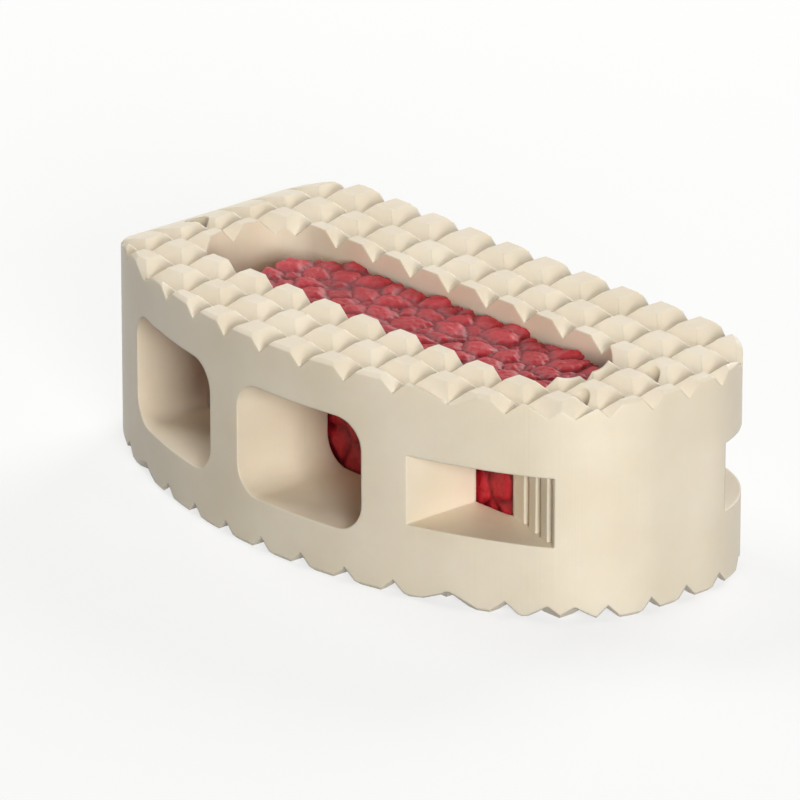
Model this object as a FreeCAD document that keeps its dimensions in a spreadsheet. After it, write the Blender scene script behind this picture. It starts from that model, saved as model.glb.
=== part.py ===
import FreeCAD, Part
import math
import os
import Sketcher

# Spinal interbody cage: a toothed ring of stiff polymer with one long graft chamber,
# windows through both long walls, a ribbed grip slot at each trailing corner,
# three metal marker pins and a plug of bone graft.
# X runs along the cage from the nose to the trailing end, -Y faces the curved front wall,
# and +Z points up. The origin is the centre of the base, on the lower tooth crests.

# Driving dimensions in millimetres, angles in degrees
DIMENSIONS = (
    ("cage_length", 28.8),
    ("front_reach", 7.15),
    ("back_reach", 7.15),
    ("cage_height", 8.8),
    ("front_bow", 4.8),
    ("front_corner_radius", 5.0),
    ("back_corner_radius", 4.5),
    ("rim_break", 0.15),
    ("nose_length", 4.4),
    ("nose_drop", 1.3),
    ("tooth_depth", 0.6),
    ("tooth_pitch_along", 2.2),
    ("tooth_pitch_across", 1.8),
    ("groove_width_along", 1.3),
    ("groove_width_across", 1.1),
    ("nose_wall", 4.5),
    ("tail_wall", 3.8),
    ("chamber_width", 5.0),
    ("chamber_corner_radius", 2.0),
    ("window_inset", 0.1),
    ("window_post", 1.8),
    ("window_to_grip", 2.0),
    ("window_height", 4.6),
    ("window_corner_radius", 1.2),
    ("grip_length", 7.2),
    ("grip_height", 2.8),
    ("grip_floor_length", 6.6),
    ("grip_floor_depth", 2.0),
    ("grip_floor_angle", 16.5),
    ("grip_rib_start", 2.65),
    ("grip_rib_pitch", 1.0),
    ("grip_rib_depth", 0.5),
    ("grip_rib_width", 0.45),
    ("marker_diameter", 0.9),
    ("marker_clearance", 0.02),
    ("marker_recess", 0.1),
    ("nose_marker_inset", 2.3),
    ("tail_marker_inset", 2.3),
    ("tail_marker_spacing", 3.6),
    ("graft_clearance", 0.05),
    ("graft_nose_gap", 2.6),
    ("graft_recess", 0.7),
    ("overshoot", 2.0),
)

PARTS_FOLDER = "parts"
ORIGIN_GEOMETRY = -1
X_AXIS_GEOMETRY = -1
Y_AXIS_GEOMETRY = -2
START_POINT = 1
END_POINT = 2
CENTRE_POINT = 3
NEAR_ZERO = 1e-9
EDGE_TOLERANCE = 1e-4
WINDOW_COUNT = 2
RIB_COUNT = 3

# Lengths and places that follow from the driving dimensions
FRONT_RADIUS = "(((Sizes.cage_length / 2) ^ 2 + Sizes.front_bow ^ 2) / (2 * Sizes.front_bow))"
NOSE_RADIUS = "((Sizes.nose_length ^ 2 + Sizes.nose_drop ^ 2) / (2 * Sizes.nose_drop))"
NOSE_REACH = "(Sizes.nose_length + Sizes.nose_drop / 2)"
CHAMBER_LENGTH = "(Sizes.cage_length - Sizes.nose_wall - Sizes.tail_wall)"
CHAMBER_CENTRE = "((Sizes.nose_wall - Sizes.tail_wall) / 2)"
WINDOW_START = "(Sizes.nose_wall + Sizes.window_inset)"
WINDOW_POSTS = "(Sizes.window_post + Sizes.window_to_grip)"
WINDOW_WIDTH = "((Sizes.cage_length - %s - %s - Sizes.grip_length) / 2)" % (WINDOW_START, WINDOW_POSTS)
WINDOW_PITCH = "(%s + Sizes.window_post)" % WINDOW_WIDTH
GRIP_START = "(Sizes.cage_length / 2 - Sizes.grip_length)"
GRIP_FLOOR_START = "(Sizes.cage_length / 2 - Sizes.grip_floor_length)"
NOSE_MARKER_PLACE = "-Sizes.cage_length / 2 + Sizes.nose_marker_inset"
TAIL_MARKER_PLACE = "Sizes.cage_length / 2 - Sizes.tail_marker_inset"
MARKERS = (
    ("nose_marker_pin", NOSE_MARKER_PLACE, "0"),
    ("front_tail_marker_pin", TAIL_MARKER_PLACE, "-Sizes.tail_marker_spacing / 2"),
    ("back_tail_marker_pin", TAIL_MARKER_PLACE, "Sizes.tail_marker_spacing / 2"),
)

doc = FreeCAD.newDocument("InterbodyCage")
sheet = doc.addObject("Spreadsheet::Sheet", "Sizes")


def fill_sheet():
    """Writes every driving dimension to the sheet and gives its cell an alias."""
    for row, (name, size) in enumerate(DIMENSIONS, start=1):
        sheet.set("A%d" % row, name)
        sheet.set("B%d" % row, str(size))
        sheet.setAlias("B%d" % row, name)
    doc.recompute()


def measure(expression):
    """Returns the number that an expression of sheet cells stands for."""
    result = sheet.evalExpression(expression)
    return float(getattr(result, "Value", result))


def bind(item, path, expression):
    """Ties one property of a document object to the sheet."""
    item.setExpression(path, expression)


def plane_of(body, role):
    """Finds one origin plane of a body by its role."""
    return next(item for item in body.Origin.OriginFeatures if item.Role == role)


def new_sketch(body, name, role, height=None):
    """Adds a sketch on an origin plane, raised along the plane's normal where a height is given."""
    sketch = body.newObject("Sketcher::SketchObject", name)
    sketch.AttachmentSupport = (plane_of(body, role), [""])
    sketch.MapMode = "FlatFace"
    if height:
        bind(sketch, "AttachmentOffset.Base.z", height)
    return sketch


def pin_coordinate(sketch, kind, geometry, point, expression):
    """Fixes one coordinate of a sketch point, measured from the sketch's origin."""
    size = measure(expression)
    if abs(size) < NEAR_ZERO:
        axis = Y_AXIS_GEOMETRY if kind == "DistanceX" else X_AXIS_GEOMETRY
        sketch.addConstraint(Sketcher.Constraint("PointOnObject", geometry, point, axis))
        return
    index = sketch.addConstraint(
        Sketcher.Constraint(kind, ORIGIN_GEOMETRY, START_POINT, geometry, point, size))
    bind(sketch, "Constraints[%d]" % index, expression)


def pin_point(sketch, geometry, point, across, up):
    """Fixes both coordinates of a sketch point."""
    pin_coordinate(sketch, "DistanceX", geometry, point, across)
    pin_coordinate(sketch, "DistanceY", geometry, point, up)


def add_polygon(sketch, corners):
    """Draws a closed outline of straight lines through corners given as pairs of expressions."""
    places = [FreeCAD.Vector(measure(across), measure(up), 0) for across, up in corners]
    lines = []
    for index, place in enumerate(places):
        following = places[(index + 1) % len(places)]
        lines.append(sketch.addGeometry(Part.LineSegment(place, following), False))
    for index, line in enumerate(lines):
        following = lines[(index + 1) % len(lines)]
        sketch.addConstraint(Sketcher.Constraint("Coincident", line, END_POINT, following, START_POINT))
        pin_point(sketch, line, START_POINT, *corners[index])


def add_circle(sketch, across, up, diameter):
    """Draws a circle about a centre given as a pair of expressions."""
    centre = FreeCAD.Vector(measure(across), measure(up), 0)
    outline = Part.Circle(centre, FreeCAD.Vector(0, 0, 1), measure(diameter) / 2)
    circle = sketch.addGeometry(outline, False)
    pin_point(sketch, circle, CENTRE_POINT, across, up)
    index = sketch.addConstraint(Sketcher.Constraint("Diameter", circle, measure(diameter)))
    bind(sketch, "Constraints[%d]" % index, diameter)


def add_rounded_rectangle(sketch, across, up, width, height, radius):
    """Draws a rectangle with four equal corner arcs, about a centre given as expressions."""
    half_width = measure(width) / 2
    half_height = measure(height) / 2
    corner = measure(radius)
    centre = FreeCAD.Vector(measure(across), measure(up), 0)
    upright = FreeCAD.Vector(0, 0, 1)
    signs = ((1, 1), (-1, 1), (-1, -1), (1, -1))
    arcs = []
    for turn, (side, level) in enumerate(signs):
        middle = centre + FreeCAD.Vector(side * (half_width - corner), level * (half_height - corner), 0)
        start = turn * math.pi / 2
        circle = Part.Circle(middle, upright, corner)
        arcs.append(sketch.addGeometry(Part.ArcOfCircle(circle, start, start + math.pi / 2), False))
    for turn, arc in enumerate(arcs):
        following = arcs[(turn + 1) % len(arcs)]
        start = sketch.getPoint(arc, END_POINT)
        finish = sketch.getPoint(following, START_POINT)
        line = sketch.addGeometry(Part.LineSegment(start, finish), False)
        sketch.addConstraint(Sketcher.Constraint("Tangent", arc, END_POINT, line, START_POINT))
        sketch.addConstraint(Sketcher.Constraint("Tangent", line, END_POINT, following, START_POINT))
    for arc, (side, level) in zip(arcs, signs):
        middle_across = "%s %+d * (%s / 2 - %s)" % (across, side, width, radius)
        middle_up = "%s %+d * (%s / 2 - %s)" % (up, level, height, radius)
        pin_point(sketch, arc, CENTRE_POINT, middle_across, middle_up)
    index = sketch.addConstraint(Sketcher.Constraint("Radius", arcs[0], corner))
    bind(sketch, "Constraints[%d]" % index, radius)


def add_pad(body, sketch, name, length):
    """Raises a sketch along its plane's normal."""
    pad = body.newObject("PartDesign::Pad", name)
    pad.Profile = sketch
    bind(pad, "Length", length)
    sketch.Visibility = False
    doc.recompute()
    return pad


def add_through_pocket(body, sketch, name):
    """Cuts a sketch through the whole body, to both sides of its plane."""
    pocket = body.newObject("PartDesign::Pocket", name)
    pocket.Profile = sketch
    pocket.Type = "ThroughAll"
    pocket.Midplane = True
    doc.recompute()
    return pocket


def add_level_pocket(body, sketch, name, depth):
    """Cuts a sketch by half of a depth to each side of its plane."""
    pocket = body.newObject("PartDesign::Pocket", name)
    pocket.Profile = sketch
    pocket.Type = "Length"
    pocket.Midplane = True
    bind(pocket, "Length", depth)
    doc.recompute()
    return pocket


def add_row(body, feature, sketch, name, length, occurrences):
    """Repeats a feature along the horizontal axis of its sketch."""
    row = body.newObject("PartDesign::LinearPattern", name)
    row.Originals = [feature]
    row.Direction = (sketch, ["H_Axis"])
    bind(row, "Length", length)
    bind(row, "Occurrences", occurrences)
    body.Tip = row
    doc.recompute()
    return row


def edges_where(feature, test):
    """Names the edges of a feature whose end points and direction pass a test."""
    found = []
    for index, edge in enumerate(feature.Shape.Edges, start=1):
        if test(edge):
            found.append("Edge%d" % index)
    return found


def is_upright(edge):
    """Tells whether an edge is a straight line along Z."""
    first = edge.Vertexes[0].Point
    last = edge.Vertexes[-1].Point
    return abs(first.x - last.x) < NEAR_ZERO and abs(first.y - last.y) < NEAR_ZERO


def is_rim(edge):
    """Tells whether an edge bounds the upper or lower face, and isn't the start of a nose curve."""
    box = edge.BoundBox
    is_crease = box.XLength < EDGE_TOLERANCE and box.YLength > measure("Sizes.chamber_width")
    return not is_upright(edge) and not is_crease


def add_plan_profile(body):
    """Pads the plan: a curved front wall, straight ends and a straight back wall."""
    sketch = new_sketch(body, "plan_sketch", "XY_Plane")
    half_length = measure("Sizes.cage_length") / 2
    radius = measure(FRONT_RADIUS)
    centre_up = radius - measure("Sizes.front_reach")
    back = measure("Sizes.back_reach")
    opening = math.asin(half_length / radius)
    circle = Part.Circle(FreeCAD.Vector(0, centre_up, 0), FreeCAD.Vector(0, 0, 1), radius)
    down = -math.pi / 2
    front = sketch.addGeometry(Part.ArcOfCircle(circle, down - opening, down + opening), False)
    corner_up = centre_up - math.sqrt(radius ** 2 - half_length ** 2)
    tail_corners = [(half_length, corner_up), (half_length, back)]
    nose_corners = [(-half_length, back), (-half_length, corner_up)]
    places = [FreeCAD.Vector(across, up, 0) for across, up in tail_corners + nose_corners]
    tail = sketch.addGeometry(Part.LineSegment(places[0], places[1]), False)
    rear = sketch.addGeometry(Part.LineSegment(places[1], places[2]), False)
    nose = sketch.addGeometry(Part.LineSegment(places[2], places[3]), False)
    chain = [front, tail, rear, nose]
    for index, geometry in enumerate(chain):
        following = chain[(index + 1) % len(chain)]
        sketch.addConstraint(Sketcher.Constraint("Coincident", geometry, END_POINT, following, START_POINT))
    sketch.addConstraint(Sketcher.Constraint("Vertical", tail))
    sketch.addConstraint(Sketcher.Constraint("Vertical", nose))
    pin_point(sketch, front, CENTRE_POINT, "0", FRONT_RADIUS + " - Sizes.front_reach")
    index = sketch.addConstraint(Sketcher.Constraint("Radius", front, radius))
    bind(sketch, "Constraints[%d]" % index, FRONT_RADIUS)
    pin_point(sketch, rear, START_POINT, "Sizes.cage_length / 2", "Sizes.back_reach")
    pin_point(sketch, rear, END_POINT, "-Sizes.cage_length / 2", "Sizes.back_reach")
    return add_pad(body, sketch, "plan_pad", "Sizes.cage_height")


def round_plan_corners(body, base):
    """Rounds the four upright corners, those of the front wall more than those of the back."""
    front_edges = edges_where(base, lambda edge: is_upright(edge) and edge.Vertexes[0].Y < 0)
    front = body.newObject("PartDesign::Fillet", "front_corners")
    front.Base = (base, front_edges)
    bind(front, "Radius", "Sizes.front_corner_radius")
    doc.recompute()
    reach = measure("Sizes.back_reach")
    back_edges = edges_where(front, lambda edge: is_upright(edge) and edge.Vertexes[0].Y > reach - NEAR_ZERO)
    back = body.newObject("PartDesign::Fillet", "back_corners")
    back.Base = (front, back_edges)
    bind(back, "Radius", "Sizes.back_corner_radius")
    doc.recompute()
    return back


def break_rims(body, base):
    """Breaks the sharp outer edges of the upper and lower faces."""
    rims = body.newObject("PartDesign::Chamfer", "rim_chamfer")
    rims.Base = (base, edges_where(base, is_rim))
    bind(rims, "Size", "Sizes.rim_break")
    doc.recompute()
    return rims


def add_nose_outline(sketch, level):
    """Draws what is cut off the nose: an arc that leaves the upper (1) or lower (-1) face smoothly."""
    middle = measure("Sizes.cage_height / 2")
    reach = measure(NOSE_REACH)
    radius = measure(NOSE_RADIUS)
    crease = measure("-Sizes.cage_length / 2 + Sizes.nose_length")
    centre_up = middle + level * (middle - radius)
    fall = radius - math.sqrt(radius ** 2 - reach ** 2)
    face = middle + level * middle
    turn = math.asin(reach / radius)
    above = math.pi / 2 * level
    start = min(above, above + level * turn)
    finish = max(above, above + level * turn)
    circle = Part.Circle(FreeCAD.Vector(crease, centre_up, 0), FreeCAD.Vector(0, 0, 1), radius)
    arc = sketch.addGeometry(Part.ArcOfCircle(circle, start, finish), False)
    top_point, tip_point = (START_POINT, END_POINT) if level > 0 else (END_POINT, START_POINT)
    tip = FreeCAD.Vector(crease - reach, face - level * fall, 0)
    far = FreeCAD.Vector(crease - reach, face + level * radius, 0)
    near = FreeCAD.Vector(crease, face + level * radius, 0)
    root = FreeCAD.Vector(crease, face, 0)
    lines = []
    for first, last in ((tip, far), (far, near), (near, root)):
        lines.append(sketch.addGeometry(Part.LineSegment(first, last), False))
    sketch.addConstraint(Sketcher.Constraint("Coincident", arc, tip_point, lines[0], START_POINT))
    sketch.addConstraint(Sketcher.Constraint("Coincident", lines[0], END_POINT, lines[1], START_POINT))
    sketch.addConstraint(Sketcher.Constraint("Coincident", lines[1], END_POINT, lines[2], START_POINT))
    sketch.addConstraint(Sketcher.Constraint("Coincident", lines[2], END_POINT, arc, top_point))
    sketch.addConstraint(Sketcher.Constraint("Vertical", lines[0]))
    sketch.addConstraint(Sketcher.Constraint("Vertical", lines[2]))
    crease_text = "-Sizes.cage_length / 2 + Sizes.nose_length"
    face_text = "Sizes.cage_height / 2 * (1 %+d)" % level
    far_text = "%s %+d * %s" % (face_text, level, NOSE_RADIUS)
    pin_point(sketch, lines[2], END_POINT, crease_text, face_text)
    pin_coordinate(sketch, "DistanceY", lines[1], END_POINT, far_text)
    pin_point(sketch, lines[1], START_POINT, crease_text + " - " + NOSE_REACH, far_text)
    pin_coordinate(sketch, "DistanceX", arc, CENTRE_POINT, crease_text)
    index = sketch.addConstraint(Sketcher.Constraint("Radius", arc, radius))
    bind(sketch, "Constraints[%d]" % index, NOSE_RADIUS)


def round_nose(body):
    """Curves the upper and lower faces of the nose inwards so that it enters a narrow space."""
    sketch = new_sketch(body, "nose_sketch", "XZ_Plane")
    add_nose_outline(sketch, 1)
    add_nose_outline(sketch, -1)
    return add_through_pocket(body, sketch, "nose_curves")


def add_groove_outlines(sketch, centre, width):
    """Draws one V over the upper face and its mirror image under the lower face."""
    spread = "%s / 2 * (1 + Sizes.overshoot / Sizes.tooth_depth)" % width
    left = "%s - %s" % (centre, spread)
    right = "%s + %s" % (centre, spread)
    top = "Sizes.cage_height"
    add_polygon(sketch, [(centre, top + " - Sizes.tooth_depth"), (right, top + " + Sizes.overshoot"),
                         (left, top + " + Sizes.overshoot")])
    add_polygon(sketch, [(centre, "Sizes.tooth_depth"), (left, "-Sizes.overshoot"),
                         (right, "-Sizes.overshoot")])


def cut_tooth_grooves(body, name, role, pitch, width, rows_each_side):
    """Cuts parallel V grooves in both faces, one on the middle line and equal rows each side."""
    sketch = new_sketch(body, name + "_sketch", role)
    add_groove_outlines(sketch, "-%s * %s" % (pitch, rows_each_side), width)
    groove = add_through_pocket(body, sketch, name + "_groove")
    count = "2 * %s + 1" % rows_each_side
    return add_row(body, groove, sketch, name + "_row", "2 * %s * %s" % (pitch, rows_each_side), count)


def cut_chamber(body):
    """Cuts the graft chamber straight through from the upper to the lower face."""
    sketch = new_sketch(body, "chamber_sketch", "XY_Plane")
    add_rounded_rectangle(sketch, CHAMBER_CENTRE, "0", CHAMBER_LENGTH, "Sizes.chamber_width",
                          "Sizes.chamber_corner_radius")
    return add_through_pocket(body, sketch, "chamber_pocket")


def cut_windows(body):
    """Cuts two rounded windows through both long walls, between the nose and the grip slots."""
    sketch = new_sketch(body, "window_sketch", "XZ_Plane")
    centre = "-Sizes.cage_length / 2 + %s + %s / 2" % (WINDOW_START, WINDOW_WIDTH)
    add_rounded_rectangle(sketch, centre, "Sizes.cage_height / 2", WINDOW_WIDTH,
                          "Sizes.window_height", "Sizes.window_corner_radius")
    window = add_through_pocket(body, sketch, "window_pocket")
    return add_row(body, window, sketch, "window_row", WINDOW_PITCH, str(WINDOW_COUNT))


def cut_grip_slot(body, name, side):
    """Cuts one grip slot in a long wall, with a floor that spreads towards the trailing end."""
    sketch = new_sketch(body, name + "_sketch", "XY_Plane", "Sizes.cage_height / 2")
    mouth = "%d * (Sizes.back_reach + Sizes.front_reach)" % side
    inner = "%d * Sizes.grip_floor_depth" % side
    far = "Sizes.cage_length / 2 + Sizes.overshoot"
    run = "(%s - %s) * tan(Sizes.grip_floor_angle)" % (far, GRIP_FLOOR_START)
    outer = "%d * (Sizes.grip_floor_depth + %s)" % (side, run)
    add_polygon(sketch, [(GRIP_START, mouth), (GRIP_START, inner), (GRIP_FLOOR_START, inner),
                         (far, outer), (far, mouth)])
    return add_level_pocket(body, sketch, name + "_pocket", "Sizes.grip_height")


def cut_grip_ribs(body, name, side, rib_count):
    """Cuts upright notches along a grip slot's floor, which leave ribs between them."""
    sketch = new_sketch(body, name + "_rib_sketch", "XY_Plane", "Sizes.cage_height / 2")
    bind(sketch, "AttachmentOffset.Base.x", GRIP_FLOOR_START)
    bind(sketch, "AttachmentOffset.Base.y", "%d * Sizes.grip_floor_depth" % side)
    sketch.AttachmentOffset.Rotation.Axis = FreeCAD.Vector(0, 0, 1)
    bind(sketch, "AttachmentOffset.Rotation.Angle", "%d * Sizes.grip_floor_angle" % side)
    first = "Sizes.grip_rib_start"
    root = "%d * Sizes.grip_rib_depth" % -side
    mouth = "%d * Sizes.grip_rib_depth" % side
    add_polygon(sketch, [(first, root), (first + " + Sizes.grip_rib_width", mouth),
                         (first + " - Sizes.grip_rib_width", mouth)])
    notch = add_level_pocket(body, sketch, name + "_notch", "Sizes.grip_height")
    return add_row(body, notch, sketch, name + "_ribs",
                   "%d * Sizes.grip_rib_pitch" % (rib_count - 1), str(rib_count))


def cut_marker_holes(body):
    """Cuts an upright through hole for each marker pin."""
    sketch = new_sketch(body, "marker_sketch", "XY_Plane")
    for name, across, up in MARKERS:
        add_circle(sketch, across, up, "Sizes.marker_diameter + 2 * Sizes.marker_clearance")
    return add_through_pocket(body, sketch, "marker_holes")


def make_cage_body():
    """Builds the toothed cage, the one load carrying piece."""
    body = doc.addObject("PartDesign::Body", "cage_body")
    body.Label = "cage_body"
    pad = add_plan_profile(body)
    round_plan_corners(body, pad)
    break_rims(body, round_nose(body))
    cut_tooth_grooves(body, "cross", "XZ_Plane", "Sizes.tooth_pitch_along", "Sizes.groove_width_along",
                      "floor(Sizes.cage_length / 2 / Sizes.tooth_pitch_along)")
    cut_tooth_grooves(body, "long", "YZ_Plane", "Sizes.tooth_pitch_across", "Sizes.groove_width_across",
                      "floor(Sizes.back_reach / Sizes.tooth_pitch_across)")
    cut_chamber(body)
    cut_windows(body)
    for name, side in (("front_grip", -1), ("back_grip", 1)):
        cut_grip_slot(body, name, side)
        cut_grip_ribs(body, name, side, RIB_COUNT)
    cut_marker_holes(body)
    return body


def make_marker_pin(name, across, up):
    """Turns one plain metal pin that lies sunk a little below the tooth roots at both ends."""
    body = doc.addObject("PartDesign::Body", name)
    body.Label = name
    sink = "Sizes.tooth_depth + Sizes.marker_recess"
    sketch = new_sketch(body, name + "_sketch", "XY_Plane", sink)
    add_circle(sketch, across, up, "Sizes.marker_diameter")
    add_pad(body, sketch, name + "_pad", "Sizes.cage_height - 2 * (%s)" % sink)
    return body


def make_graft_plug():
    """Fills the chamber with bone graft, up to just under the tooth roots and short of the nose."""
    body = doc.addObject("PartDesign::Body", "graft_plug")
    body.Label = "graft_plug"
    sketch = new_sketch(body, "graft_sketch", "XY_Plane", "Sizes.graft_recess")
    centre = CHAMBER_CENTRE + " + (Sizes.graft_nose_gap - Sizes.graft_clearance) / 2"
    length = "(%s - Sizes.graft_nose_gap - Sizes.graft_clearance)" % CHAMBER_LENGTH
    add_rounded_rectangle(sketch, centre, "0", length,
                          "(Sizes.chamber_width - 2 * Sizes.graft_clearance)",
                          "(Sizes.chamber_corner_radius - Sizes.graft_clearance)")
    add_pad(body, sketch, "graft_pad", "Sizes.cage_height - 2 * Sizes.graft_recess")
    return body


def check_document(bodies):
    """Stops when an object failed to compute or a piece is empty or not valid."""
    for item in doc.Objects:
        if "Invalid" in item.State or "Error" in item.State:
            raise RuntimeError("%s did not compute: %s" % (item.Name, item.State))
    for body in bodies:
        if body.Shape.isNull() or not body.Shape.isValid():
            raise RuntimeError("%s has no valid shape" % body.Label)


def write_parts(bodies):
    """Writes one STEP file for each piece."""
    os.makedirs(PARTS_FOLDER, exist_ok=True)
    for body in bodies:
        body.Shape.exportStep(os.path.join(PARTS_FOLDER, body.Label + ".step"))
        print("%s: %d solid, %.2f cubic mm" % (body.Label, len(body.Shape.Solids), body.Shape.Volume))


fill_sheet()
pieces = [make_cage_body(), make_graft_plug()]
pieces += [make_marker_pin(*marker) for marker in MARKERS]
doc.recompute()
check_document(pieces)
write_parts(pieces)
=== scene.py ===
import math

import bmesh
import bpy
import numpy as np
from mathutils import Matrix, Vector


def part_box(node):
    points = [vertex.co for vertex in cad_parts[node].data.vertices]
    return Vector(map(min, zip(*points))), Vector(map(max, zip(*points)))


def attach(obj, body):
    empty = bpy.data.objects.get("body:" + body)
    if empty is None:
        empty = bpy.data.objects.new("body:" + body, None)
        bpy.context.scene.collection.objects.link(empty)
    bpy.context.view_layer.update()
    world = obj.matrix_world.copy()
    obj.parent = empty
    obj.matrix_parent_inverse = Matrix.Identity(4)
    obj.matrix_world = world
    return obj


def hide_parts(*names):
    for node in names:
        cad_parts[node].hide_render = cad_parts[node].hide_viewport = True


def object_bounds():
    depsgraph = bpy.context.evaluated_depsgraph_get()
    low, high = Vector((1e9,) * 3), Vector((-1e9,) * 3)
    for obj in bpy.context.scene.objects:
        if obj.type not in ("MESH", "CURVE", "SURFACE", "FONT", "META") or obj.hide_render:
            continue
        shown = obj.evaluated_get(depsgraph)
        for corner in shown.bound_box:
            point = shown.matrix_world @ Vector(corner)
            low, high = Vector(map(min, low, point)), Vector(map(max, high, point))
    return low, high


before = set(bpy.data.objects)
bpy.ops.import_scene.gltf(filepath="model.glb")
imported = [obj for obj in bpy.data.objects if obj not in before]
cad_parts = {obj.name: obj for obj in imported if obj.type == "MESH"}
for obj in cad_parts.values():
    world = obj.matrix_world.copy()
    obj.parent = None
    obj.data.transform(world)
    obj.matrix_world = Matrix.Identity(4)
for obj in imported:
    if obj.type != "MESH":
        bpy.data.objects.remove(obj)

# A spinal interbody cage: a machined ring of natural PEEK with toothed faces, a plug of
# blood-soaked bone graft in its chamber, and three tantalum marker pins.
# Lengths are in metres; one that is written in millimetres is multiplied by MM.
# Angles are in degrees.
MM = 0.001

# Natural PEEK, milled from bar stock: its two tones and how far its cloudiness spreads
PEEK_DARK = "#E4D6BC"
PEEK_LIGHT = "#EFE3CD"
PEEK_CLOUD = 4.0 * MM
PEEK_CLOUD_RANGE = (0.3, 0.7)
PEEK_SMOOTHEST = 0.38
PEEK_ROUGHEST = 0.52
PEEK_IOR = 1.67
PEEK_SCATTER = 0.2
PEEK_SCATTER_DEPTH = 0.6 * MM
PEEK_SCATTER_COLOUR = (1.0, 0.7, 0.4)
PEEK_EDGE = 0.1 * MM
PEEK_EDGE_SAMPLES = 6

# Its machined surface; the cutter marks are drawn as coarse as they need to show
PEEK_GRAIN = 0.09 * MM
PEEK_GRAIN_DEPTH = 0.006 * MM
PEEK_GRAIN_STRENGTH = 0.2
CUTTER_MARK = 0.16 * MM
CUTTER_MARK_HEIGHT = 9.0 * MM
CUTTER_MARK_DEPTH = 0.03 * MM
CUTTER_MARK_STRENGTH = 0.25

# Drawn tantalum wire with ground ends
TANTALUM_GREY = "#8E9298"
TANTALUM_SMOOTHEST = 0.25
TANTALUM_ROUGHEST = 0.45
PIN_SCRATCH = 0.06 * MM
PIN_SCRATCH_DEPTH = 0.006 * MM
PIN_SCRATCH_STRENGTH = 0.3

# Crushed bone soaked in blood: its colours, the painted shade that darkens the gaps between its chips, and
# its moist skin
GRAFT_RED = "#A8141F"
GRAFT_PALE = "#B8252F"
# Painted shade: the gaps between the chips are darkened towards this colour, fully where a point's rise is
# below the first value and not at all above the second
GRAFT_GAP_SHADE = "#5E0A12"
GRAFT_GAP_SHADE_FULL_BELOW = 0.1
GRAFT_GAP_SHADE_NONE_ABOVE = 0.7
GRAFT_ROUGHNESS = 0.5
GRAFT_IOR = 1.38
GRAFT_SCATTER = 0.15
GRAFT_SCATTER_DEPTH = 0.5 * MM
GRAFT_SCATTER_COLOUR = (1.0, 0.25, 0.2)
GRAFT_WETNESS = 0.05
GRAFT_WET_ROUGHNESS = 0.3
GRAFT_FIBRE = 0.16 * MM
GRAFT_FIBRE_DEPTH = 0.05 * MM
GRAFT_FIBRE_STRENGTH = 0.6

# The plug's outline and how finely its surface is divided; GRAFT_AROUND is even, so its sides meet
GRAFT_CORNER = 1.95 * MM
GRAFT_AROUND = 420
GRAFT_FACE_ROWS = 30
GRAFT_WALL_ROWS = 60
GRAFT_ARC_POINTS = 40
MERGE_DISTANCE = 0.0005 * MM

# Its chips and the crumbs between them
CHIP_SIZE = 1.2 * MM
CRUMB_SIZE = 0.4 * MM
CHIP_GAP_DEPTH = 0.25 * MM
CHIP_UNEVENNESS = 0.12 * MM
CHIP_SHARE = 0.75
GAP_STEEPNESS = 2.2
GAP_CURVE = 0.6

# Large primes and a mask that turn a cell's whole-number place into repeatable random values
CHIP_SEED = 7
CRUMB_SEED = 11
CELL_PRIMES = np.array([73856093, 19349663, 83492791])
TONE_PRIME = 1299709
OFFSET_PRIMES = (7919, 104729, 15485863)
HASH_MASK = 0x7FFFFFFF
HASH_RANGE = 1000003

# Studio: the floor's own light makes it pale, and each softbox has a place, a width and a brightness
FLOOR_GREY = "#8E8E8C"
FLOOR_SIZE = 4.0
FLOOR_LIFT = 0.72
WORLD_LIGHT = 0.07
WHITE = (1.0, 1.0, 1.0, 1.0)
LAMP_DISTANCE = 300 * MM
SOFTBOXES = {
    "key_softbox": {"azimuth": 61, "elevation": 15, "width": 100 * MM, "brightness": 0.87},
    "nose_softbox": {"azimuth": -85, "elevation": 47, "width": 140 * MM, "brightness": 0.47},
    "back_softbox": {"azimuth": -165, "elevation": 30, "width": 140 * MM, "brightness": 0.6},
}

# Camera, at the photograph's viewing angle and distance; the frame is VIEW_WIDTH wide at the cage
SENSOR_WIDTH = 36.0
CAMERA_DISTANCE = 372 * MM
CAMERA_AZIMUTH = 48.5
CAMERA_ELEVATION = 21.3
VIEW_WIDTH = 31 * MM
NEAR_CLIP = 4 * MM

cad_low, cad_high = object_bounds()
middle = (cad_low + cad_high) / 2


def linear(hex_colour):
    """Turns an sRGB hex colour into the linear values that a shader takes."""
    values = [int(hex_colour[i:i + 2], 16) / 255 for i in (1, 3, 5)]
    values = [v / 12.92 if v <= 0.04045 else ((v + 0.055) / 1.055) ** 2.4 for v in values]
    return (*values, 1.0)


def add_node(tree, kind, settings=None, values=None, links=None):
    """Adds one node, sets its properties and its input values, and links outputs to its inputs."""
    node = tree.nodes.new(kind)
    for name, value in (settings or {}).items():
        setattr(node, name, value)
    for name, value in (values or {}).items():
        node.inputs[name].default_value = value
    for name, output in (links or {}).items():
        tree.links.new(output, node.inputs[name])
    return node


def new_material(name, hex_colour):
    """Makes a material with an empty node tree and a plain viewport colour."""
    material = bpy.data.materials.new(name)
    material.use_nodes = True
    material.diffuse_color = linear(hex_colour)
    material.node_tree.nodes.clear()
    return material, material.node_tree


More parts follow.
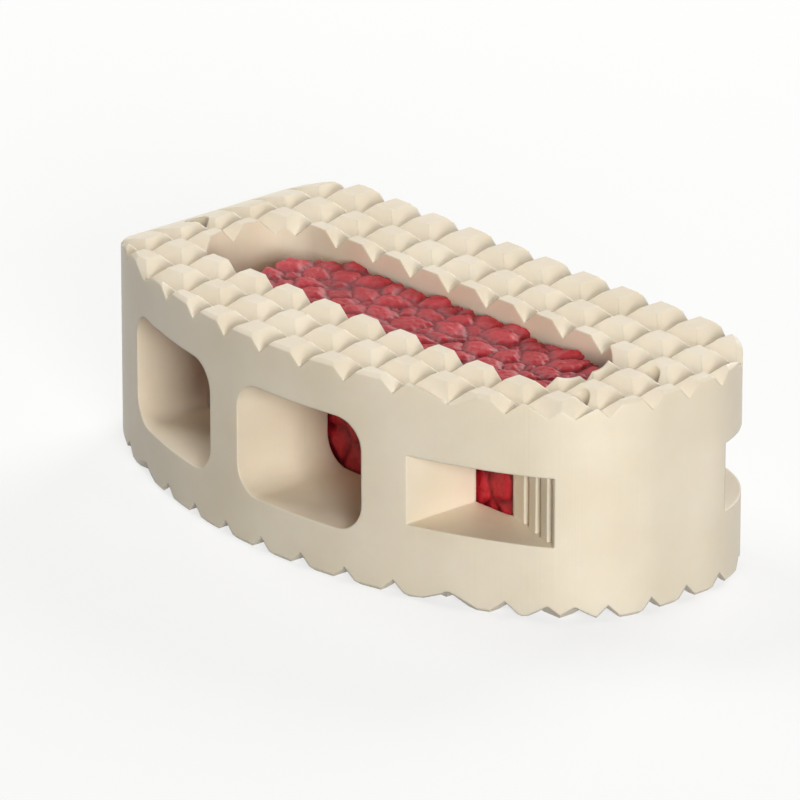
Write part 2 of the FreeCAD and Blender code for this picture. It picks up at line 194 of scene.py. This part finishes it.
def machined_natural_peek():
    """Natural PEEK, milled: a warm beige polymer with a satin skin and faint upright cutter marks.
    Light goes a little way into it, so its teeth and edges look soft."""
    material, tree = new_material("machined_natural_peek", PEEK_LIGHT)
    place = add_node(tree, "ShaderNodeTexCoord").outputs["Object"]
    cloud = add_node(tree, "ShaderNodeTexNoise", values={"Scale": 1 / PEEK_CLOUD, "Detail": 4.0},
                     links={"Vector": place})
    colour = add_node(tree, "ShaderNodeValToRGB", links={"Fac": cloud.outputs["Fac"]})
    tones = zip(colour.color_ramp.elements, PEEK_CLOUD_RANGE, (PEEK_DARK, PEEK_LIGHT))
    for element, position, tone in tones:
        element.position = position
        element.color = linear(tone)
    upright = add_node(tree, "ShaderNodeMapping", links={"Vector": place},
                       values={"Scale": (1 / CUTTER_MARK, 1 / CUTTER_MARK, 1 / CUTTER_MARK_HEIGHT)})
    marks = add_node(tree, "ShaderNodeTexNoise", values={"Scale": 1.0, "Detail": 3.0, "Roughness": 0.6},
                     links={"Vector": upright.outputs["Vector"]})
    grain = add_node(tree, "ShaderNodeTexNoise", values={"Scale": 1 / PEEK_GRAIN, "Detail": 2.0},
                     links={"Vector": place})
    edge = add_node(tree, "ShaderNodeBevel", settings={"samples": PEEK_EDGE_SAMPLES},
                    values={"Radius": PEEK_EDGE})
    mark_bump = add_node(tree, "ShaderNodeBump",
                         values={"Strength": CUTTER_MARK_STRENGTH, "Distance": CUTTER_MARK_DEPTH},
                         links={"Height": marks.outputs["Fac"], "Normal": edge.outputs["Normal"]})
    grain_bump = add_node(tree, "ShaderNodeBump",
                          values={"Strength": PEEK_GRAIN_STRENGTH, "Distance": PEEK_GRAIN_DEPTH},
                          links={"Height": grain.outputs["Fac"], "Normal": mark_bump.outputs["Normal"]})
    roughness = add_node(tree, "ShaderNodeMapRange",
                         values={"To Min": PEEK_SMOOTHEST, "To Max": PEEK_ROUGHEST},
                         links={"Value": marks.outputs["Fac"]})
    shader = add_node(tree, "ShaderNodeBsdfPrincipled",
                      values={"IOR": PEEK_IOR, "Subsurface Weight": PEEK_SCATTER,
                              "Subsurface Radius": PEEK_SCATTER_COLOUR,
                              "Subsurface Scale": PEEK_SCATTER_DEPTH},
                      links={"Base Color": colour.outputs["Color"],
                             "Roughness": roughness.outputs["Result"],
                             "Normal": grain_bump.outputs["Normal"]})
    add_node(tree, "ShaderNodeOutputMaterial", links={"Surface": shader.outputs["BSDF"]})
    return material


def ground_tantalum():
    """Drawn tantalum wire: a grey metal with a faint blue cast, its cut ends finely ground."""
    material, tree = new_material("ground_tantalum", TANTALUM_GREY)
    place = add_node(tree, "ShaderNodeTexCoord").outputs["Object"]
    scratches = add_node(tree, "ShaderNodeTexNoise", values={"Scale": 1 / PIN_SCRATCH, "Detail": 3.0},
                         links={"Vector": place})
    roughness = add_node(tree, "ShaderNodeMapRange",
                         values={"To Min": TANTALUM_SMOOTHEST, "To Max": TANTALUM_ROUGHEST},
                         links={"Value": scratches.outputs["Fac"]})
    bump = add_node(tree, "ShaderNodeBump",
                    values={"Strength": PIN_SCRATCH_STRENGTH, "Distance": PIN_SCRATCH_DEPTH},
                    links={"Height": scratches.outputs["Fac"]})
    shader = add_node(tree, "ShaderNodeBsdfPrincipled",
                      values={"Base Color": linear(TANTALUM_GREY), "Metallic": 1.0},
                      links={"Roughness": roughness.outputs["Result"], "Normal": bump.outputs["Normal"]})
    add_node(tree, "ShaderNodeOutputMaterial", links={"Surface": shader.outputs["BSDF"]})
    return material


def blood_soaked_bone_graft():
    """Crushed bone soaked in blood: deep red and moist, with painted shade that darkens the gaps between
    its chips.
    """
    material, tree = new_material("blood_soaked_bone_graft", GRAFT_RED)
    tone = add_node(tree, "ShaderNodeAttribute", settings={"attribute_name": "chip_tone"})
    rise = add_node(tree, "ShaderNodeAttribute", settings={"attribute_name": "chip_rise"})
    place = add_node(tree, "ShaderNodeTexCoord").outputs["Object"]
    fibre = add_node(tree, "ShaderNodeTexNoise", links={"Vector": place},
                     values={"Scale": 1 / GRAFT_FIBRE, "Detail": 4.0, "Roughness": 0.65})
    chip = add_node(tree, "ShaderNodeValToRGB", links={"Fac": tone.outputs["Fac"]})
    chip.color_ramp.elements[0].color = linear(GRAFT_RED)
    chip.color_ramp.elements[1].color = linear(GRAFT_PALE)
    # Painted shade: a low chip rise, in the gaps between the chips, mixes the chip colour towards the
    # painted gap shade colour
    height = add_node(tree, "ShaderNodeMapRange",
                      values={"From Min": GRAFT_GAP_SHADE_FULL_BELOW, "From Max": GRAFT_GAP_SHADE_NONE_ABOVE},
                      links={"Value": rise.outputs["Fac"]})
    colour = add_node(tree, "ShaderNodeMixRGB", values={"Color1": linear(GRAFT_GAP_SHADE)},
                      links={"Fac": height.outputs["Result"], "Color2": chip.outputs["Color"]})
    bump = add_node(tree, "ShaderNodeBump",
                    values={"Strength": GRAFT_FIBRE_STRENGTH, "Distance": GRAFT_FIBRE_DEPTH},
                    links={"Height": fibre.outputs["Fac"]})
    shader = add_node(tree, "ShaderNodeBsdfPrincipled",
                      values={"Roughness": GRAFT_ROUGHNESS, "IOR": GRAFT_IOR,
                              "Subsurface Weight": GRAFT_SCATTER,
                              "Subsurface Radius": GRAFT_SCATTER_COLOUR,
                              "Subsurface Scale": GRAFT_SCATTER_DEPTH,
                              "Coat Weight": GRAFT_WETNESS, "Coat Roughness": GRAFT_WET_ROUGHNESS},
                      links={"Base Color": colour.outputs["Color"], "Normal": bump.outputs["Normal"]})
    add_node(tree, "ShaderNodeOutputMaterial", links={"Surface": shader.outputs["BSDF"]})
    return material


def cell_heights(points, cell, seed):
    """Broken pieces of one size: each cubic cell holds one seed at a random place. A point's rise is how
    much nearer its nearest seed is than the second, 0 at a gap and 1 inside a piece; its tone is random
    for each piece."""
    scaled = points / cell
    base = np.floor(scaled).astype(np.int64)
    nearest = np.full(len(points), np.inf)
    second = np.full(len(points), np.inf)
    tone = np.zeros(len(points))
    steps = np.stack(np.meshgrid(*[(-1, 0, 1)] * 3, indexing="ij"), axis=-1).reshape(-1, 3)
    for step in steps:
        corner = base + step
        mixed = (corner @ CELL_PRIMES + seed * TONE_PRIME) & HASH_MASK
        offset = np.stack([(mixed * prime % HASH_RANGE) / HASH_RANGE for prime in OFFSET_PRIMES], axis=-1)
        distance = np.linalg.norm(scaled - corner - offset, axis=1)
        closer = distance < nearest
        second = np.where(closer, nearest, np.minimum(second, distance))
        tone = np.where(closer, (mixed * TONE_PRIME % HASH_RANGE) / HASH_RANGE, tone)
        nearest = np.where(closer, distance, nearest)
    return np.clip((second - nearest) * GAP_STEEPNESS, 0, 1) ** GAP_CURVE, tone


def rounded_outline(half_x, half_y, corner, count):
    """A rounded rectangle as evenly spaced points: four quarter circles about the corner centres, joined
    by straight runs, and read off at equal steps of the distance travelled. It starts on the middle line,
    so with an even count its two sides mirror each other and meet point for point along the spine."""
    quarter = np.linspace(0, math.pi / 2, GRAFT_ARC_POINTS)
    turns = np.concatenate([quarter + side * math.pi / 2 for side in range(4)])
    centre_x = np.repeat([1, -1, -1, 1], GRAFT_ARC_POINTS) * (half_x - corner)
    centre_y = np.repeat([1, 1, -1, -1], GRAFT_ARC_POINTS) * (half_y - corner)
    ring = np.stack([centre_x + corner * np.cos(turns), centre_y + corner * np.sin(turns)], axis=-1)
    start = np.array([[half_x, 0.0]])
    ring = np.vstack([start, ring, start])
    travelled = np.concatenate([[0], np.cumsum(np.linalg.norm(np.diff(ring, axis=0), axis=1))])
    wanted = np.linspace(0, travelled[-1], count, endpoint=False)
    return np.stack([np.interp(wanted, travelled, ring[:, axis]) for axis in (0, 1)], axis=-1)


def bone_graft_plug():
    """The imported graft, from the middle of its base out to the outline, up the wall, and in again over
    the top. Plan point = spine + t (outline - spine), with t from 0 to 1 over a face and 1 on the wall.
    Each point then sinks towards the middle, by the depth of the gap there and by an amount of its
    chip's own."""
    low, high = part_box("graft_plug")
    centre = np.array((low + high) / 2)
    half = np.array((high - low) / 2)
    outline = rounded_outline(half[0], half[1], GRAFT_CORNER, GRAFT_AROUND)
    reach = half[0] - half[1]
    spine = np.stack([np.clip(outline[:, 0], -reach, reach), np.zeros(GRAFT_AROUND)], axis=-1)
    face = np.linspace(0, 1, GRAFT_FACE_ROWS)
    wall = np.linspace(-1, 1, GRAFT_WALL_ROWS)[1:-1]
    share = np.concatenate([face, np.ones(len(wall)), face[::-1]])
    level = np.concatenate([-np.ones(len(face)), wall, np.ones(len(face))]) * half[2]
    plan = spine + share[:, None, None] * (outline - spine)
    height = np.broadcast_to(level[:, None, None], (len(share), GRAFT_AROUND, 1))
    points = np.concatenate([plan, height], axis=-1).reshape(-1, 3)
    chip_rise, chip_tone = cell_heights(points, CHIP_SIZE, CHIP_SEED)
    crumb_rise, _ = cell_heights(points, CRUMB_SIZE, CRUMB_SEED)
    rise = CHIP_SHARE * chip_rise + (1 - CHIP_SHARE) * crumb_rise
    sink = CHIP_GAP_DEPTH * (1 - rise) + CHIP_UNEVENNESS * (1 - chip_tone)
    points = points * (1 - sink[:, None] / half) + centre
    index = np.arange(len(points)).reshape(len(share), GRAFT_AROUND)
    ahead = np.roll(index, -1, axis=1)
    quads = np.stack([index[:-1], ahead[:-1], ahead[1:], index[1:]], axis=-1).reshape(-1, 4)
    mesh = bpy.data.meshes.new("bone_graft_plug")
    mesh.from_pydata(points, [], quads)
    # chip_rise also sets the painted shade in the gaps in the graft's material
    for name, values in (("chip_tone", chip_tone), ("chip_rise", rise)):
        mesh.attributes.new(name, "FLOAT", "POINT").data.foreach_set("value", values.astype(np.float32))
    close_surface(mesh)
    plug = bpy.data.objects.new("bone_graft_plug", mesh)
    bpy.context.scene.collection.objects.link(plug)
    return plug


def close_surface(mesh):
    """Merges the points that lie in one place, turns all faces outwards and shades them smooth."""
    shape = bmesh.new()
    shape.from_mesh(mesh)
    bmesh.ops.remove_doubles(shape, verts=shape.verts, dist=MERGE_DISTANCE)
    bmesh.ops.recalc_face_normals(shape, faces=shape.faces)
    shape.to_mesh(mesh)
    shape.free()
    mesh.shade_smooth()


def give(piece, material):
    """Gives a piece one material on all its faces."""
    piece.data.materials.clear()
    piece.data.materials.append(material)


def looked_at(tree):
    """An output that is 1 or more for rays from the camera, from a reflection or through glass, and 0
    for the rays that light the cage."""
    rays = add_node(tree, "ShaderNodeLightPath")
    total = rays.outputs["Is Camera Ray"]
    for name in ("Is Glossy Ray", "Is Transmission Ray"):
        more = add_node(tree, "ShaderNodeMath", settings={"operation": "ADD"})
        tree.links.new(total, more.inputs[0])
        tree.links.new(rays.outputs[name], more.inputs[1])
        total = more.outputs["Value"]
    return total


def studio_floor():
    """A matt floor under the cage. Where it is looked at, it is lifted to nearly white, and the cage's
    shadow stays."""
    half = FLOOR_SIZE / 2
    corners = [(x, y, cad_low.z) for x, y in ((-half, -half), (half, -half), (half, half), (-half, half))]
    mesh = bpy.data.meshes.new("studio_floor")
    mesh.from_pydata(corners, [], [(0, 1, 2, 3)])
    floor = bpy.data.objects.new("studio_floor", mesh)
    bpy.context.scene.collection.objects.link(floor)
    material, tree = new_material("matt_grey_floor", FLOOR_GREY)
    lift = add_node(tree, "ShaderNodeMapRange", values={"To Max": FLOOR_LIFT},
                    links={"Value": looked_at(tree)})
    matt = add_node(tree, "ShaderNodeBsdfDiffuse", values={"Color": linear(FLOOR_GREY)})
    glow = add_node(tree, "ShaderNodeEmission", links={"Strength": lift.outputs["Result"]})
    both = add_node(tree, "ShaderNodeAddShader")
    tree.links.new(matt.outputs["BSDF"], both.inputs[0])
    tree.links.new(glow.outputs["Emission"], both.inputs[1])
    add_node(tree, "ShaderNodeOutputMaterial", links={"Surface": both.outputs["Shader"]})
    give(floor, material)


def studio_world():
    """Even pale light from all round. Where it is looked at, it is white."""
    world = bpy.data.worlds.new("pale_studio")
    bpy.context.scene.world = world
    world.use_nodes = True
    tree = world.node_tree
    tree.nodes.clear()
    strength = add_node(tree, "ShaderNodeMapRange", values={"To Min": WORLD_LIGHT, "To Max": 1.0},
                        links={"Value": looked_at(tree)})
    sky = add_node(tree, "ShaderNodeBackground", values={"Color": WHITE},
                   links={"Strength": strength.outputs["Result"]})
    add_node(tree, "ShaderNodeOutputWorld", links={"Surface": sky.outputs["Background"]})


def aim(thing, azimuth, elevation, distance):
    """Puts a lamp or camera at a distance from the middle of the cage and turns it to face that middle.
    Azimuth 0 faces the curved front wall, and it grows towards the trailing end."""
    turn, rise = math.radians(azimuth), math.radians(elevation)
    direction = Vector((math.sin(turn) * math.cos(rise), -math.cos(turn) * math.cos(rise), math.sin(rise)))
    thing.location = middle + direction * distance
    thing.rotation_euler = (-direction).to_track_quat("-Z", "Y").to_euler()
    bpy.context.scene.collection.objects.link(thing)


def softbox(name, azimuth, elevation, width, brightness):
    """A square area light. Brightness 1 lights a white wall that faces it to about white."""
    lamp = bpy.data.lights.new(name, "AREA")
    lamp.size = width
    lamp.energy = brightness * (math.pi * LAMP_DISTANCE) ** 2
    aim(bpy.data.objects.new(name, lamp), azimuth, elevation, LAMP_DISTANCE)


def photo_camera():
    """A camera at the photograph's viewing angle and distance, with a lens that fills the frame."""
    camera = bpy.data.cameras.new("photo_camera")
    camera.sensor_width = SENSOR_WIDTH
    camera.lens = SENSOR_WIDTH * CAMERA_DISTANCE / VIEW_WIDTH
    camera.clip_start = NEAR_CLIP
    stand = bpy.data.objects.new("photo_camera", camera)
    aim(stand, CAMERA_AZIMUTH, CAMERA_ELEVATION, CAMERA_DISTANCE)
    bpy.context.scene.camera = stand


bpy.context.scene.view_settings.view_transform = "Standard"
photo_camera()
studio_world()
studio_floor()
for name, settings in SOFTBOXES.items():
    softbox(name, **settings)

give(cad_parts["cage_body"], machined_natural_peek())
pin_metal = ground_tantalum()
for pin in ("nose_marker_pin", "front_tail_marker_pin", "back_tail_marker_pin"):
    give(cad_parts[pin], pin_metal)

graft = bone_graft_plug()
give(graft, blood_soaked_bone_graft())
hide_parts("graft_plug")
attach(graft, "root")
